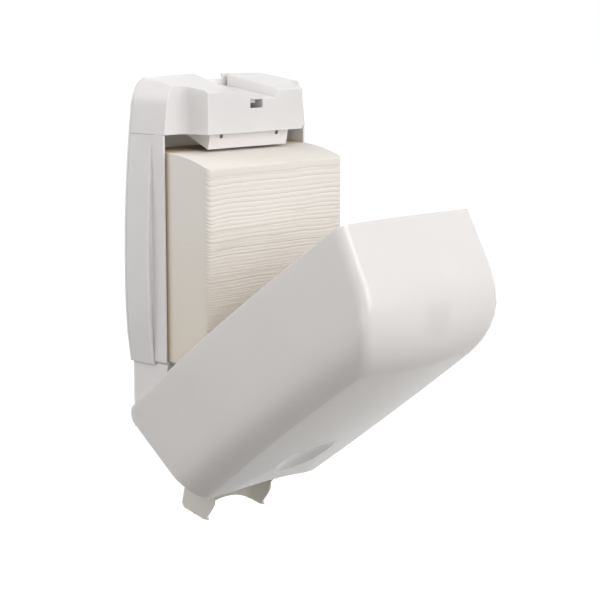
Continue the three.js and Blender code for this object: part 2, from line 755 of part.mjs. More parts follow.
function coverForm(inset, back, heightSteps = 9) {
  const front = coverDepth - inset;
  const brow = coverBrow - inset;
  const corner = coverCorner - inset;
  const browStart = front - brow;
  const rings = [coverRing(back, 0, 0, inset, heightSteps)];
  rings.push(coverRing((back + browStart) / 2, 0, 0, inset, heightSteps));
  browShares.forEach((share) => {
    const turn = Math.PI / 2 * share;
    const depth = browStart + brow * Math.sin(turn);
    const into = Math.max(0, depth - (front - corner));
    const sideInset = corner - Math.sqrt(Math.max(0, corner * corner - into * into));
    rings.push(coverRing(depth, sideInset, brow * (1 - Math.cos(turn)), inset, heightSteps));
  });
  const last = rings[rings.length - 1];
  const middle = (coverLow + last[Math.floor(last.length / 2)][2]) / 2;
  capShares.forEach((share) => {
    rings.push(last.map(([x, depth, height]) => [x * share, depth, middle + (height - middle) * share]));
  });
  const count = last.length;
  const places = rings.flat().map(([x, depth, height]) => [x, -depth - swell(x, depth), height]);
  const triangles = [];
  for (let ring = 0; ring + 1 < rings.length; ring += 1) {
    for (let at = 0; at < count; at += 1) {
      const next = (at + 1) % count;
      const a = ring * count + at;
      const b = ring * count + next;
      triangles.push(a, b, a + count, b, b + count, a + count);
    }
  }
  const tip = places.length;
  places.push([0, -front - swell(0, front), middle]);
  const backCentre = places.length;
  places.push([0, -back, middle]);
  for (let at = 0; at < count; at += 1) {
    const next = (at + 1) % count;
    const lastRing = (rings.length - 1) * count;
    triangles.push(lastRing + at, lastRing + next, tip);
    triangles.push(next, at, backCentre);
  }
  const geometry = new THREE.BufferGeometry();
  geometry.setAttribute('position', new THREE.Float32BufferAttribute(places.flat(), 3));
  geometry.setIndex(triangles);
  return toSolid(geometry);
}

// Shallow round finger dish; grow gives the back of its wall
function dishForm(grow) {
  const face = coverDepth + swell(0, coverDepth);
  const ball = (dishRadius * dishRadius + dishSink * dishSink) / (2 * dishSink);
  const radius = dishRadius + overrun;
  const rim = overrun * 2;
  const steps = 5;
  const profile = [];
  for (let step = 0; step <= steps; step += 1) {
    const r = radius * step / steps;
    profile.push([r, ball - dishSink - Math.sqrt(ball * ball - r * r) - grow]);
  }
  profile.push([radius, rim], [0, rim]);
  const geometry = new THREE.LatheGeometry(profile.map(([u, v]) => new THREE.Vector2(u, v)), 32);
  geometry.rotateX(Math.PI);
  geometry.translate(0, -face, dishHeight);
  return toSolid(geometry);
}

// Side profile that trims the closed cover: a heel clear of the wall, a rising underside and a chin
const heelPullDepth = 9.5;
const heelPullHeight = -12.3;

function coverTrim() {
  const heel = new THREE.Shape();
  const top = coverTop + overrun * 2;
  const front = coverDepth + coverBulge + overrun;
  heel.moveTo(coverBack, top);
  heel.lineTo(coverBack, 0);
  heel.absarc(hingeDepth, 0, hingeDepth - coverBack, Math.PI, Math.PI + openAngle);
  heel.quadraticCurveTo(heelPullDepth, heelPullHeight, floorBack, undersideHeight(floorBack));
  heel.lineTo(undersideFront, undersideHeight(undersideFront));
  heel.lineTo(chinFront, chinHeight);
  heel.lineTo(front, chinHeight);
  heel.lineTo(front, top);
  return sideways(heel, -housingHalf - overrun * 2, housingHalf + overrun * 2, 5);
}

// What the cover's inside keeps clear above its floor wall
function aboveFloor() {
  const lift = wall * Math.sqrt(1 + undersideSlope * undersideSlope);
  const front = coverDepth + coverBulge + overrun;
  const floorAt = (depth) => undersideHeight(depth) + lift;
  return sideways(outline([[floorBack, coverLow - overrun], [floorBack, floorAt(floorBack)],
    [undersideFront, floorAt(undersideFront)], [front, floorAt(undersideFront)], [front,
      coverTop + overrun],
    [-overrun * 2, coverTop + overrun], [-overrun * 2, coverLow - overrun]]),
  -housingHalf - overrun * 2, housingHalf + overrun * 2);
}

// Outlet chute, fixed in the opening of the cover's floor
const chuteHalf = 47;
const chuteBackShare = -0.825;
const chuteTop = 5;
const chuteFlangeWidth = 15;
const chuteFlangeHalf = chuteHalf + chuteFlangeWidth;
const chuteFlangeBack = 58;
const chuteFlangeFront = 104;
const chuteHeelDepth = 94;
const chuteDrop = 71.6;
const chuteHeelRise = 15.3;
const chuteHeelHeight = chuteHeelRise - chuteDrop;
const chuteReach = 48.8;
const chuteToeShares = [[0.248, 0.993], [0.377, 1], [0.918, 0.69], [1, 0.609], [0.916, 0.601], [0.852,
  0.44],
  [0.793, 0.332], [0.658, 0.239]];
const chuteRootFront = 119;
const guideLowDepth = 127.3;
const guideLowHeight = -61;
const guideTopDepth = 88.5;
const guideTopHeight = 5.9;
const guideArch = 15;
const outletSlack = 0.8;

function chuteCheek() {
  const back = (height) => chuteHeelDepth + (height - chuteHeelHeight) * chuteBackShare;
  const toe = chuteToeShares.map(([ahead, down]) => [chuteHeelDepth + chuteReach * ahead,
    -chuteDrop * down]);
  return outline([[chuteHeelDepth, chuteHeelHeight], ...toe, [chuteRootFront, chuteTop * 3],
    [back(chuteTop) + wall * 4, chuteTop * 2], [back(chuteTop), chuteTop]]);
}

const chuteScrewReach = 8;
const chuteScrewHalf = chuteHalf + chuteScrewReach;
const chuteScrewDepths = [chuteFlangeBack + chuteScrewReach, chuteFlangeFront - chuteScrewReach];


// Slab lying on the cover's floor, drawn between two levels above the underside
function floorSlab(x0, x1, depth0, depth1, level0, level1) {
  return sideways(outline([[depth0, undersideHeight(depth0) + level0], [depth1,
    undersideHeight(depth1) + level0],
    [depth1, undersideHeight(depth1) + level1], [depth0, undersideHeight(depth0) + level1]]), x0, x1);
}

const intoFloor = new THREE.Vector3(0, -undersideSlope, -1).normalize();
const floorThickness = wall * Math.sqrt(1 + undersideSlope * undersideSlope);
const chuteLevel = floorThickness + gap;
const chuteScrewPlaces = [1, -1].flatMap((side) => chuteScrewDepths.map((depth) => ({
  x: side * chuteScrewHalf,
  depth,
  height: undersideHeight(depth) + chuteLevel + floorThickness + screwHeadThickness,
})));
const chuteScrewSet = screwSet(chuteScrewPlaces, intoFloor, wall * 2);

function outletChute() {
  const cheek = chuteCheek();
  const cheeks = [sideways(cheek, chuteHalf - wall, chuteHalf), sideways(cheek, -chuteHalf,
    wall - chuteHalf)];
  const run = new THREE.Vector2(guideTopDepth - guideLowDepth, guideTopHeight - guideLowHeight);
  const up = run.clone().normalize();
  const guide = new THREE.Shape();
  const inner = chuteHalf - wall / 2;
  guide.moveTo(-inner, 0);
  guide.quadraticCurveTo(0, 2 * guideArch, inner, 0);
  guide.lineTo(inner, run.length());
  guide.lineTo(-inner, run.length());
  const frame = new THREE.Matrix4().makeBasis(new THREE.Vector3(1, 0, 0), new THREE.Vector3(0, -up.x, up.y),
    new THREE.Vector3(0, -up.y, -up.x));
  frame.setPosition(0, -guideLowDepth, guideLowHeight);
  const guideWall = extrude(guide, -wall, 0, frame, 10);
  const flanges = [[chuteHalf - wall, chuteFlangeHalf], [-chuteFlangeHalf, wall - chuteHalf]].map(([x0,
    x1]) => (
    floorSlab(x0, x1, chuteFlangeBack, chuteFlangeFront, chuteLevel, chuteLevel + floorThickness)));
  return cut(join([...cheeks, guideWall, ...flanges]), chuteScrewSet.bores);
}

// Catch: a tongue that follows the cover's swing into the notch, hung from the inside of the cover
const tongueRise = 3.8;
const tongueInner = leverPivotHeight + tongueRise;
const tongueThickness = 2.2;
const tongueReach = 4;
const tongueTip = leverNoseStart - tongueReach;
const tongueHalf = 8.5;
const tongueBar = 3.2;
const tongueHoleHalf = 5.2;
const tongueHoleSlack = 2;
const tongueHoleFront = leverNoseEnd + tongueHoleSlack;
const catchSetback = 1.8;
const catchBack = blockDepth + catchSetback;
const catchLength = 25.5;
const catchFront = catchBack + catchLength;
const catchSlack = 1.25;
const catchLow = swingHeight(tongueInner, catchBack) - catchSlack;
const catchSeatHalf = 20;

function swingHeight(radius, depth) {
  return Math.sqrt(radius * radius - (depth - hingeDepth) ** 2);
}

function tongueOutline() {
  const steps = 5;
  const depths = Array.from({ length: steps + 1 }, (_,
    step) => tongueTip + (catchBack + wall - tongueTip) * step / steps);
  const low = depths.map((depth) => [depth, swingHeight(tongueInner, depth)]);
  const high = depths.map((depth) => [depth, swingHeight(tongueInner + tongueThickness, depth)]).reverse();
  return outline([...low, ...high]);
}

const catchSeatThickness = 3;

function coverCatch(hollow) {
  const tongue = sideways(tongueOutline(), -tongueHalf, tongueHalf);
  const hole = box(-tongueHoleHalf, tongueHoleHalf, tongueTip + tongueBar, tongueHoleFront,
    notchLow - overrun,
    notchHigh + overrun);
  const stem = box(-tongueHalf, tongueHalf, catchBack, catchBack + tongueThickness * 2, catchLow, coverTop);
  const seatBlock = box(-catchSeatHalf, catchSeatHalf, catchBack, catchFront, catchLow, coverTop);
  const seat = seatBlock.intersect(hollow).subtract(hollow.translate([0, 0, -catchSeatThickness]));
  return tongue.subtract(hole).add(stem.intersect(hollow)).add(seat);
}

// Towels: a folded stack with soft corners, and a packet on top that droops at one end
function stackPlan() {
  return roundedRectangle(-stackHalf, stackHalf, stackBack, stackFront, stackCorner);
}

const stackBase = shelfTop + gap;
const stackDrop = 40;
const stackTop = blockBottom - stackDrop;
const stackRise = 11;
const packetRise = 16;
const riseBend = 3;
const layerSteps = 8;

// Top edge of a layer, level with its height in front and rising toward the wall
function layerCurve(height, rise) {
  return Array.from({ length: layerSteps + 1 }, (_, step) => {
    const share = step / layerSteps;
    const depth = stackBack + (stackFront - stackBack) * share;
    return [depth, height + rise * (1 - share ** riseBend)];
  });
}

function towelBlock(profile) {
  const plan = upwards(stackPlan(), stackBase - overrun,
    stackTop + packetThickness + packetRise + overrun, 4);
  return plan.intersect(sideways(outline(profile), -stackHalf - overrun, stackHalf + overrun));
}

function towelStack() {
  return towelBlock([[stackBack, stackBase], ...layerCurve(stackTop, stackRise), [stackFront, stackBase]]);
}

function topTowels() {
  const low = layerCurve(stackTop + gap, stackRise);
  const high = layerCurve(stackTop + gap + packetThickness, packetRise).reverse();
  return towelBlock([...low, ...high]);
}

function frontCover(hollow) {
  const outer = coverForm(0, coverBack).intersect(coverTrim()).subtract(dishForm(0));
  const inside = hollow.intersect(aboveFloor()).subtract(dishForm(wall));
  const archShape = new THREE.Shape();
  archShape.moveTo(-chinArchHalf, chinHeight - overrun);
  archShape.lineTo(chinArchHalf, chinHeight - overrun);
  archShape.lineTo(chinArchHalf, chinHeight);
  archShape.quadraticCurveTo(0, 2 * chinArchTop - chinHeight, -chinArchHalf, chinHeight);
  const arch = forwards(archShape, chuteRootFront, coverDepth + coverBulge + overrun, 12);
  const backSlope = chuteHeelDepth + (undersideHeight(chuteFlangeBack) - chuteHeelHeight) * chuteBackShare;
  const outletBack = Math.min(backSlope, chuteFlangeBack) - wall * 4;
  const outlet = box(-chuteHalf - outletSlack, chuteHalf + outletSlack, outletBack,
    coverDepth + coverBulge + overrun,
    coverLow - overrun, chinHeight + wall * 4);
  const bosses = [1, -1].map((side) => bar(side * bossStart, side * pinTipHalf, hingeDepth, 0, bossRadius));
  const bores = [1, -1].map((side) => bar(side * (bossStart - overrun), side * (pinTipHalf + gap),
    hingeDepth, 0,
    pinRadius + runningFit));
  const shell = outer.subtract(inside);
  const floorOutlet = outlet.subtract(box(-housingHalf, housingHalf, coverDepth - wall * 2, coverDepth * 2,
    coverLow - overrun, coverTop));
  return cut(join([shell, ...bosses]), [arch, floorOutlet, ...bores, ...chuteScrewSet.bores]);
}

// Materials
const plastic = { color: 0xefedeb, roughness: 0.35, metalness: 0 };
const coverPlastic = { color: 0xf2f0ee, roughness: 0.2, metalness: 0 };
const paper = { color: 0xf3eee8, roughness: 0.95, metalness: 0 };
const steel = { color: 0xb9bcc0, roughness: 0.35, metalness: 1 };

// Named mesh from a solid
function piece(name, solid, finish) {
  const { vertProperties, triVerts } = solid.getMesh();
  const geometry = new THREE.BufferGeometry();
  geometry.setAttribute('position', new THREE.Float32BufferAttribute(vertProperties, 3));
  geometry.setIndex(new THREE.Uint32BufferAttribute(triVerts, 1));
  geometry.computeVertexNormals();
  const mesh = new THREE.Mesh(geometry, new THREE.MeshStandardMaterial(finish));
  mesh.name = name;
  return mesh;
}

// One named mesh for each screw of a set
function screws(name, set) {
  return set.solids.map((solid, index) => piece(`${name}_${index + 1}`, solid, steel));
}

const dispenser = new THREE.Group();
const housing = new THREE.Group();
housing.position.z = -originRise;
dispenser.add(housing);
housing.add(
  piece('back_plate', backPlate(), plastic),
  piece('side_panel_left', sidePanel(-1), plastic),
  piece('side_panel_right', sidePanel(1), plastic),
  piece('top_housing', topHousing(), plastic),
  ...screws('housing_screw', housingScrewSet),
  piece('towel_retainer', towelRetainer(), plastic),
  ...screws('retainer_screw', retainerScrewSet),
  piece('lock_lever', lockLever(), plastic),
  piece('lever_pin', leverPin(), steel),
  piece('detent_spring', detentSpring(), steel),
  ...screws('detent_screw', detentScrewSet),
  piece('towel_shelf', towelShelf(), plastic),
  ...screws('shelf_screw', shelfScrewSet),
  piece('hinge_bracket_left', hingeBracket(-1), plastic),
  piece('hinge_bracket_right', hingeBracket(1), plastic),
  ...screws('bracket_screw', bracketScrewSet),
  piece('hinge_pin_left', hingePin(-1), steel),
  piece('hinge_pin_right', hingePin(1), steel),
  piece('towel_stack', towelStack(), paper),
  piece('top_towels', topTowels(), paper),
);

// The cover's group turns about the hinge axis
const coverHinge = new THREE.Group();
coverHinge.position.y = -hingeDepth;
coverHinge.rotation.x = openAngle;
const cover = new THREE.Group();
cover.position.y = hingeDepth;
coverHinge.add(cover);
housing.add(coverHinge);
const coverHollow = coverForm(wall, -overrun);
const catchHollow = coverForm(wall + gap, -overrun);
cover.add(
  piece('front_cover', frontCover(coverHollow), coverPlastic),
  piece('cover_catch', coverCatch(catchHollow), plastic),
  piece('outlet_chute', outletChute(), plastic),
  ...screws('chute_screw', chuteScrewSet),
);

export default dispenser;
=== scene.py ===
import math
import random

import bmesh
import bpy
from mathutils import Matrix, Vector, noise


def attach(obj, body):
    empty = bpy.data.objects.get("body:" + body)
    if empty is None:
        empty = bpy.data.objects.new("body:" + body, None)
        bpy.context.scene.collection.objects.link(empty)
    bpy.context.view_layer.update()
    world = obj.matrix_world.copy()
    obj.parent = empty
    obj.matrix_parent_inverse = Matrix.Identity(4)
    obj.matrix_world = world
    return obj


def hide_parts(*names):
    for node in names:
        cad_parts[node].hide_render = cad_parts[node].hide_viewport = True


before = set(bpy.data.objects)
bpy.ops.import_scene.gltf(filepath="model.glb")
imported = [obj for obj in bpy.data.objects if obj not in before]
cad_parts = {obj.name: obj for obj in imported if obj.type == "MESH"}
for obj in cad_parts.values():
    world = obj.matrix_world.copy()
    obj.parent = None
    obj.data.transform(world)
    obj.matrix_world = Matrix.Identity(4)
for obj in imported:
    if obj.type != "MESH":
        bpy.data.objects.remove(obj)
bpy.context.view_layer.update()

mm = 0.001
hingeHeight = -0.190  # the hinge axis lies this far below the origin
random.seed(11)

for spare in ("Cube", "Light", "Camera"):
    if spare in bpy.data.objects:
        bpy.data.objects.remove(bpy.data.objects[spare])


def tone(red, green, blue):
    # a screen colour, 0 to 255, as the linear values that a shader takes
    shares = [value / 255 for value in (red, green, blue)]
    linear = [share / 12.92 if share < 0.04045 else ((share + 0.055) / 1.055) ** 2.4
              for share in shares]
    return linear + [1]


class Wire:
    # a shader socket that adds and multiplies in plain Python
    def __init__(self, finish, socket):
        self.finish, self.socket = finish, socket

    def maths(self, operation, first, second):
        return self.finish.node("Math", {"operation": operation}, first, second)

    def __add__(self, other):
        return self.maths("ADD", self, other)

    def __radd__(self, other):
        return self.maths("ADD", other, self)

    def __mul__(self, other):
        return self.maths("MULTIPLY", self, other)

    def __rmul__(self, other):
        return self.maths("MULTIPLY", other, self)


class Shader:
    # one node tree
    def __init__(self, tree):
        self.tree = tree

    def node(self, kind, settings=None, *values, output=0, **named):
        made = self.tree.nodes.new("ShaderNode" + kind)
        for setting, value in (settings or {}).items():
            setattr(made, setting, value)
        for socket, value in [*enumerate(values), *named.items()]:
            key = socket if isinstance(socket, int) else socket.replace("_", " ")
            self.feed(made.inputs[key], value)
        return Wire(self, made.outputs[output])

    def feed(self, socket, value):
        if isinstance(value, Wire):
            self.tree.links.new(value.socket, socket)
        else:
            socket.default_value = value

    def whiteRays(self):
        # the rays that see a white room: the camera's, and those off metal or through a clear piece
        camera, glossy, through = (self.node("LightPath", output=f"Is {kind} Ray")
                                   for kind in ("Camera", "Glossy", "Transmission"))
        return camera.maths("MAXIMUM", camera, glossy.maths("MAXIMUM", glossy, through))

    def mix(self, share, first, second):
        return self.node("MixShader", None, share, first, second)


class Finish(Shader):
    # one material: fixed values first, then the ones that vary over the surface
    def __init__(self, name, **fixed):
        self.material = bpy.data.materials.new(name)
        self.material.use_nodes = True
        super().__init__(self.material.node_tree)
        self.surface = self.tree.nodes["Principled BSDF"]
        for socket, value in fixed.items():
            self.surface.inputs[socket.replace("_", " ")].default_value = value
        self.place = self.node("TexCoord", output="Object")

    def mottle(self, scale, detail, rough=0.5, stretch=(1, 1, 1)):
        where = self.node("Mapping", None, self.place, Scale=stretch)
        return self.node("TexNoise", None, Vector=where, Scale=scale, Detail=detail,
                         Roughness=rough)

    def blendColour(self, share, first, second):
        mixer = self.tree.nodes.new("ShaderNodeMix")
        mixer.data_type = "RGBA"
        factor, colours = mixer.inputs[0], mixer.inputs[6:8]
        for socket, value in zip((factor, *colours), (share, first, second)):
            self.feed(socket, value)
        return Wire(self, mixer.outputs[2])

    def bump(self, height, depth, strength):
        return self.node("Bump", None, Height=height, Distance=depth, Strength=strength)

    def wear(self, **varied):
        for socket, value in varied.items():
            self.feed(self.surface.inputs[socket.replace("_", " ")], value)
        return self.material


# In the looks below, cloud, marks, peel, streaks, fibre, emboss, grain and haze are mottles: scale,
# detail, and where they need it roughness and stretch. A depth is in metres.

# moulded plastic: a faint mottle in the colour, handling marks in the gloss, and orange peel
plasticLook = dict(light=tone(239, 235, 234), dull=tone(232, 228, 226), cloud=(14, 3),
                   marks=(46, 5, 0.65, (1, 1, 0.4)), peel=(420, 2), peelDepth=0.00006,
                   peelStrength=0.5, rough=0.26, roughSpread=0.12, coat=0.15, coatRough=0.12,
                   refraction=1.49, through=0.5, throughColour=(1, 0.95, 0.88),
                   throughDepth=0.006)
coverLook = {**plasticLook, "light": tone(230, 226, 225), "dull": tone(223, 219, 217),
             "rough": 0.18, "roughSpread": 0.08, "coat": 0.1, "peel": (240, 2),
             "peelDepth": 0.00004}
retainerLook = {**plasticLook, "through": 0.0}
# this plastic is matte and uncoated, and its darker, warmer colour is painted shade for the parts
# that sit in shade inside, the chute among them
shadedInnerLook = {**plasticLook, "light": tone(226, 223, 216), "dull": tone(217, 213, 205),
             "rough": 0.4, "coat": 0.0}


def plasticFinish(name, look):
    finish = Finish(name, IOR=look["refraction"], Coat_Weight=look["coat"],
                    Coat_Roughness=look["coatRough"], Subsurface_Weight=look["through"],
                    Subsurface_Radius=look["throughColour"], Subsurface_Scale=look["throughDepth"])
    cloud = finish.mottle(*look["cloud"])
    marks = finish.mottle(*look["marks"])
    peel = finish.mottle(*look["peel"])
    return finish.wear(Base_Color=finish.blendColour(cloud, look["light"], look["dull"]),
                       Roughness=marks * look["roughSpread"] + look["rough"],
                       Normal=finish.bump(peel, look["peelDepth"], look["peelStrength"]))


housingPlastic = plasticFinish("housing plastic", plasticLook)
coverPlastic = plasticFinish("cover plastic", coverLook)
retainerPlastic = plasticFinish("retainer plastic", retainerLook)
shadedInnerPlastic = plasticFinish("inner plastic in painted shade", shadedInnerLook)

# folded tissue: warm white, with fibres and a soft emboss; painted light makes it warmer low down
# and painted shade browns its back; the bounds of both are places in metres
# warm tints the random cloud and streaks, and also the painted light low down; rear is the brown of
# the painted shade at the back
paperLook = dict(light=tone(240, 236, 232), warm=tone(235, 225, 210), rear=tone(196, 172, 134),
                 rough=0.9, shine=0.15, cloud=(9, 3, 0.6), streaks=(60, 4, 0.7, (0.25, 0.25, 5)),
                 fibre=(900, 3, 0.7), emboss=(260, 1), cloudShare=0.25, streakShare=0.3,
                 paintedLightLowShare=0.5, paintedLightLowFrom=0.05, paintedLightLowTo=-0.09, paintedShadeRearShare=0.8, paintedShadeRearFrom=-0.068,
                 paintedShadeRearTo=-0.053, fibreShare=0.5, bumpDepth=0.0003, bumpStrength=0.6)


def paperFinish(name, look):
    finish = Finish(name, Roughness=look["rough"], Specular_IOR_Level=look["shine"])
    cloud = finish.mottle(*look["cloud"])
    streaks = finish.mottle(*look["streaks"])
    fibre = finish.mottle(*look["fibre"])
    emboss = finish.mottle(*look["emboss"])
    depth = finish.node("SeparateXYZ", None, finish.place, output="Y")
    height = finish.node("SeparateXYZ", None, finish.place, output="Z")
    # painted light: warmer towards the bottom of the pile, as if lit through the paper
    low = finish.node("MapRange", None, Value=height, From_Min=look["paintedLightLowFrom"],
                      From_Max=look["paintedLightLowTo"])
    # painted shade: browner towards the back of the pile, where its back sits in shade
    rear = finish.node("MapRange", {"interpolation_type": "SMOOTHSTEP"}, Value=depth,
                       From_Min=look["paintedShadeRearFrom"], From_Max=look["paintedShadeRearTo"])
    share = cloud * look["cloudShare"] + streaks * look["streakShare"] + low * look["paintedLightLowShare"]
    front = finish.blendColour(share, look["light"], look["warm"])
    relief = fibre * look["fibreShare"] + emboss
    return finish.wear(Base_Color=finish.blendColour(rear * look["paintedShadeRearShare"], front, look["rear"]),
                       Normal=finish.bump(relief, look["bumpDepth"], look["bumpStrength"]))


towelPaper = paperFinish("folded paper", paperLook)

# zinc-plated steel: brushed grain and a dull haze
steelLook = dict(bright=tone(186, 188, 190), dark=tone(150, 152, 155), haze=(120, 3),
                 grain=(900, 2, 0.6, (0.1, 1, 1)), rough=0.25, roughSpread=0.2,
                 bumpDepth=0.00004, bumpStrength=0.4)


def steelFinish(name, look):
    finish = Finish(name, Metallic=1.0)
    grain = finish.mottle(*look["grain"])
    haze = finish.mottle(*look["haze"])
    return finish.wear(Base_Color=finish.blendColour(haze, look["bright"], look["dark"]),
                       Roughness=grain * look["roughSpread"] + look["rough"],
                       Normal=finish.bump(grain, look["bumpDepth"], look["bumpStrength"]))


screwSteel = steelFinish("plated steel", steelLook)
print("finishes made")

# the finger dish, in the cover's closed place, in mm; its edges crease at fewer degrees
dish = dict(height=98, reach=46, front=100, crease=8)
swing = dict(depth=10.8, turn=math.radians(53.2))


def onDish(point):
    back, high = -point.y / mm - swing["depth"], (point.z - hingeHeight) / mm
    front = back * math.cos(swing["turn"]) - high * math.sin(swing["turn"])
    height = back * math.sin(swing["turn"]) + high * math.cos(swing["turn"])
    away = math.hypot(point.x / mm, height - dish["height"])
    return front > dish["front"] and away < dish["reach"]


def finishPiece(shape, name, body, material, replaced=(), edge=None, crease=35,
                segments=2):
    mesh = bpy.data.meshes.new(name)
    for face in shape.faces:
        face.smooth = True
    for seam in shape.edges:
        dished = name == "front_cover_skin" and onDish(seam.verts[0].co)
        limit = math.radians(dish["crease"] if dished else crease)
        seam.smooth = not seam.is_manifold or seam.calc_face_angle(0) < limit
    shape.to_mesh(mesh)
    shape.free()
    piece = bpy.data.objects.new(name, mesh)
    bpy.context.scene.collection.objects.link(piece)
    mesh.materials.append(material)
    if edge:
        soften = piece.modifiers.new("soft edges", "BEVEL")
        soften.width, soften.segments = edge, segments
        soften.limit_method, soften.angle_limit = "ANGLE", math.radians(crease)
        soften.use_clamp_overlap = True
        soften.miter_outer = "MITER_ARC"
    even = piece.modifiers.new("even shading", "WEIGHTED_NORMAL")
    even.keep_sharp = True
    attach(piece, body)
    if replaced:
        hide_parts(*replaced)


# a node's own shape, merged and cleaned in a copy, with soft edges and a smooth skin
def dress(nodeName, body, material, edge, crease=35, flat=0.02, segments=2):
    shape = bmesh.new()
    shape.from_mesh(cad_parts[nodeName].data)
    bmesh.ops.remove_doubles(shape, verts=shape.verts, dist=2e-6)
    bmesh.ops.dissolve_limit(shape, angle_limit=math.radians(flat), verts=shape.verts,
                             edges=shape.edges)
    finishPiece(shape, nodeName + "_skin", body, material, [nodeName], edge, crease,
                segments)


# for each moulded part the width of its soft edges in mm, its material and the bevel's segments
mouldedParts = {
    "housing": dict(back_plate=(0.5, housingPlastic, 2), side_panel_left=(0.7, housingPlastic, 2),
                    side_panel_right=(0.7, housingPlastic, 2), top_housing=(2.2, housingPlastic, 3),
                    towel_retainer=(0.4, retainerPlastic, 2), towel_shelf=(0.5, shadedInnerPlastic, 2),
                    hinge_bracket_left=(0.5, housingPlastic, 2),
                    hinge_bracket_right=(0.5, housingPlastic, 2)),
    # the chute and the catch take the darker plastic, whose colour is painted shade
    "cover": dict(outlet_chute=(0.5, shadedInnerPlastic, 2), cover_catch=(0.3, shadedInnerPlastic, 2)),
    "lock": dict(lock_lever=(0.3, housingPlastic, 2)),
}
for body, parts in mouldedParts.items():
    for nodeName, (edge, plastic, segments) in parts.items():
        dress(nodeName, body, plastic, edge * mm, segments=segments)
dress("front_cover", "cover", coverPlastic, 0.8 * mm, crease=32, flat=0.05)

for nodeName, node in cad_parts.items():
    if "screw" in nodeName or "pin" in nodeName or nodeName == "detent_spring":
        node.data.materials.clear()
        node.data.materials.append(screwSteel)
print("moulded parts dressed")

# the pocket behind the notch: thin walls beside and under the catch's tongue, in mm
pocket = dict(half=9.9, wall=0.8, back=70, front=88.2, low=343.6, high=353.4)


def notchPocket():
    shape = bmesh.new()
    inner, low, high = pocket["half"], pocket["low"], pocket["high"]
    outer, floor = inner + pocket["wall"], low + pocket["wall"]
    corners = [(-outer, low), (outer, low), (outer, high), (inner, high), (inner, floor),
               (-inner, floor), (-inner, high), (-outer, high)]
    verts = [shape.verts.new((x * mm, -pocket["back"] * mm, z * mm + hingeHeight))
             for x, z in corners]
    edges = [shape.edges.new((verts[order - 1], verts[order])) for order in range(len(verts))]
    bmesh.ops.contextual_create(shape, geom=edges)
    made = bmesh.ops.extrude_face_region(shape, geom=shape.faces[:], use_keep_orig=True)
    moved = [part for part in made["geom"] if isinstance(part, bmesh.types.BMVert)]
    bmesh.ops.translate(shape, verts=moved, vec=(0, -(pocket["front"] - pocket["back"]) * mm, 0))
    bmesh.ops.recalc_face_normals(shape, faces=shape.faces)
    finishPiece(shape, "notch_pocket", "housing", housingPlastic)


notchPocket()

# the pile of folded towels, in mm above the hinge axis and out from the wall: its block, its
# layers, which thin towards the foot, the waves and the droop of their edges, and the lean
pile = dict(half=108, back=13.5, front=124, corner=7, bottom=65.4, rear=283.9, rise=16, bend=3,
            across=46, along=26, rim=8, sideRim=3, fold=0.95, side=0.02, crease=70)
layers = dict(packet=5.6, stopShare=1.6, lastShare=1.5, thin=2.3, thick=5.2, thickBend=1.4,
              spread=(0.7, 1.35), bulges=(0.35, 1), foot=0.2,
              profile=((0.14, 0.0), (0.5, -0.12), (0.9, 0.05)))
waves = dict(size=1.6, across=0.02, layer=0.14, height=0.013, drift=0.001, footFade=6, droop=2.6,
             droopSpan=34, droopFade=1.2, droopTop=0.995)
lean = dict(size=0.3, height=0.05, seed=(3.7, 1.3), splitHeight=196, splitShift=0.5)


def clamp(value):
    return max(0, min(1, value))


def pileTop(depth):
    share = (depth - pile["back"]) / (pile["front"] - pile["back"])
    return pile["rear"] + pile["rise"] * (1 - clamp(share) ** pile["bend"])


def pileLevels(total):
    # the top of each layer and how far its lower edge bulges, from the foot up
    levels, height = [], 0
    while height < total - layers["packet"] * layers["stopShare"]:
        growth = (layers["thick"] - layers["thin"]) * (height / total) ** layers["thickBend"]
        step = (layers["thin"] + growth) * random.uniform(*layers["spread"])
        height = min(height + step, total - layers["packet"] * layers["lastShare"])
        levels.append((height, random.uniform(*layers["bulges"])))
        random.random()  # keeps the later draws as they are
    return levels + [(total, 1)]


def rounded(across, along, half, reach):
    # a point of the plan, drawn in where it lies outside the rounded corners
    over = Vector((max(0, abs(across) - half + pile["corner"]),
                   max(0, abs(along) - reach + pile["corner"])))
    if over.length > pile["corner"]:
        over *= 1 - pile["corner"] / over.length
        across -= math.copysign(over.x, across)
        along -= math.copysign(over.y, along)
    return across, along


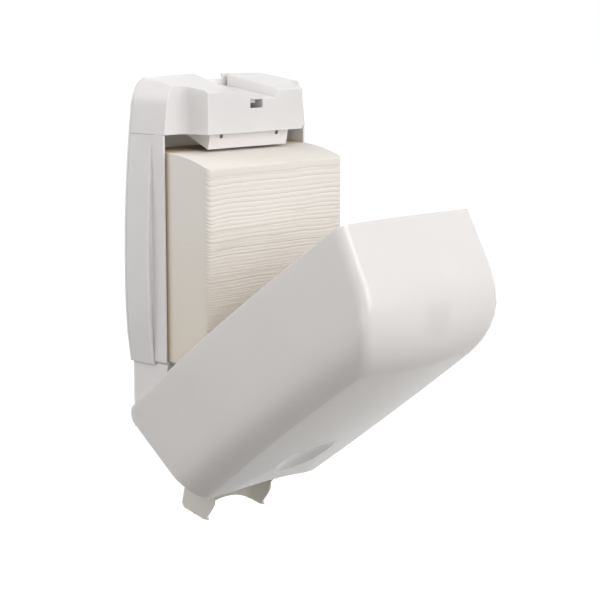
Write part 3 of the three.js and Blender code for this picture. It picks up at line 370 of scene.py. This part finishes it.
def towelPile():
    shape = bmesh.new()
    plan = shape.verts.layers.float_vector.new("plan")
    half, middle = pile["half"], (pile["back"] + pile["front"]) / 2
    reach = (pile["front"] - pile["back"]) / 2
    total = pile["rear"] - pile["bottom"]
    bmesh.ops.create_grid(shape, x_segments=pile["across"], y_segments=pile["along"], size=1)
    for vert in shape.verts:
        vert[plan] = (vert.co.x * half, vert.co.y * reach, 0)
    levels = pileLevels(total)

    def put(vert, height, out, seed):
        share = height / total
        across, along = rounded(*vert[plan][:2], half, reach)
        depth = middle + along
        front = clamp((depth - pile["front"] + pile["rim"]) / pile["rim"])
        back = clamp((pile["back"] + pile["rim"] - depth) / pile["rim"])
        ripple = noise.noise(Vector((across * waves["across"], seed * waves["layer"],
                                     height * waves["height"])))
        wave = ripple * waves["size"] * (front + back)
        if share < waves["droopTop"]:
            left = clamp((-across - half + waves["droopSpan"]) / waves["droopSpan"])
            wave -= waves["droop"] * left ** 2 * front * min(1, share * waves["droopFade"])
        wave *= min(1, share * waves["footFade"])
        inset = out * pile["fold"] * max(front, back) + out * pile["side"]
        split = height + pile["bottom"] < lean["splitHeight"]
        shift = lean["splitShift"] * front if split else 0
        sway = noise.noise(Vector((lean["seed"][0], height * lean["height"], lean["seed"][1])))
        side = abs(across) - (inset if abs(across) > half - pile["sideRim"] else 0)
        across = math.copysign(side, across) - shift + sway * lean["size"] * front
        deep = depth - math.copysign(inset, depth - middle) * max(front, back) - shift
        rise = (pileTop(depth) - pile["bottom"]) * share + wave + pile["bottom"]
        vert.co = (across * mm, -deep * mm, rise * mm + hingeHeight)

    for vert in shape.verts:
        put(vert, total, 0, 0)
    rim = [edge for edge in shape.edges if edge.is_boundary]
    lows = [0] + [height for height, bulge in levels[:-1]]
    for order in reversed(range(len(levels))):
        (top, bulge), low = levels[order], lows[order]
        rings = [(top - (top - low) * drop, out) for drop, out in layers["profile"]]
        rings.append((low, bulge if order else layers["foot"]))
        for height, out in rings:
            made = bmesh.ops.extrude_edge_only(shape, edges=rim)
            verts = {part for part in made["geom"] if isinstance(part, bmesh.types.BMVert)}
            for vert in verts:
                put(vert, height, out, order + height * waves["drift"])
            rim = [part for part in made["geom"] if isinstance(part, bmesh.types.BMEdge)
                   and verts.issuperset(part.verts)]
    bmesh.ops.contextual_create(shape, geom=rim)
    bmesh.ops.recalc_face_normals(shape, faces=shape.faces)
    finishPiece(shape, "towel_pile", "housing", towelPaper,
                ["towel_stack", "top_towels"], crease=pile["crease"])


towelPile()
print("towels folded")

# floor, light and camera: lengths in metres, angles in degrees
room = dict(floor=-0.352, size=14, azimuth=-46.55, elevation=9.4, lens=106.6, distance=2.1349,
            target=(0.1072, -0.0564, -0.0810), floorColour=tone(100, 98, 94), floorRough=0.9,
            glow=0.93, sky=0.56, middle=(0, -0.12, -0.02))

# each lamp's place, its width and height, and its power in watts
lamps = {
    "front light": ((0.5, -2.2, 0.9), (1.8, 1.4), 26.5),
    "high light": ((0.3, -1.3, 1.6), (1.4, 1.2), 4),
    "side light": ((-1.0, 0.6, 0.9), (1.0, 0.8), 7),
    "rear light": ((0.4, 2.3, 0.3), (2.8, 2.0), 14),
    "low fill": ((-1.7, -1.3, -0.03), (1.8, 0.5), 6.5),
}


def stageFloor():
    shape = bmesh.new()
    bmesh.ops.create_grid(shape, x_segments=1, y_segments=1, size=room["size"])
    bmesh.ops.translate(shape, verts=shape.verts, vec=(0, 0, room["floor"]))
    mesh = bpy.data.meshes.new("floor")
    shape.to_mesh(mesh)
    shape.free()
    floor = bpy.data.objects.new("floor", mesh)
    bpy.context.scene.collection.objects.link(floor)
    finish = Finish("floor paint", Base_Color=room["floorColour"], Roughness=room["floorRough"])
    paint = Wire(finish, finish.surface.outputs[0])
    glow = finish.node("Emission", None, Color=tone(255, 255, 255), Strength=room["glow"])
    lit = finish.node("AddShader", None, paint, glow)
    out = next(node for node in finish.tree.nodes if node.type == "OUTPUT_MATERIAL")
    finish.feed(out.inputs["Surface"], finish.mix(finish.whiteRays(), paint, lit))
    mesh.materials.append(finish.material)


def worldLight():
    world = bpy.data.worlds.new("studio")
    bpy.context.scene.world = world
    world.use_nodes = True
    shader = Shader(world.node_tree)
    shader.tree.nodes.clear()
    dim, white = (shader.node("Background", None, Color=(level, level, level, 1), Strength=1)
                  for level in (room["sky"], 1))
    out = shader.tree.nodes.new("ShaderNodeOutputWorld")
    shader.feed(out.inputs["Surface"], shader.mix(shader.whiteRays(), dim, white))


def softBox(name, place, size, power):
    lamp = bpy.data.lights.new(name, "AREA")
    lamp.shape, lamp.size, lamp.size_y, lamp.energy = "RECTANGLE", size[0], size[1], power
    aim = Vector(room["middle"]) - Vector(place)
    hung = bpy.data.objects.new(name, lamp)
    hung.location = place
    hung.rotation_mode = "QUATERNION"
    hung.rotation_quaternion = aim.to_track_quat("-Z", "Y")
    bpy.context.scene.collection.objects.link(hung)


def placeCamera():
    lens = bpy.data.cameras.new("camera")
    lens.lens, lens.sensor_width = room["lens"], 36
    lens.clip_start, lens.clip_end = 0.05, 60
    camera = bpy.data.objects.new("camera", lens)
    azimuth, elevation = math.radians(room["azimuth"]), math.radians(room["elevation"])
    back = Vector((math.sin(azimuth) * math.cos(elevation),
                   -math.cos(azimuth) * math.cos(elevation), math.sin(elevation)))
    camera.location = Vector(room["target"]) + back * room["distance"]
    camera.rotation_mode = "QUATERNION"
    camera.rotation_quaternion = (-back).to_track_quat("-Z", "Y")
    bpy.context.scene.collection.objects.link(camera)
    bpy.context.scene.camera = camera


stageFloor()
worldLight()
for name, (place, size, power) in lamps.items():
    softBox(name, place, size, power)
placeCamera()
bpy.context.scene.view_settings.view_transform = "Standard"
print("room lit")
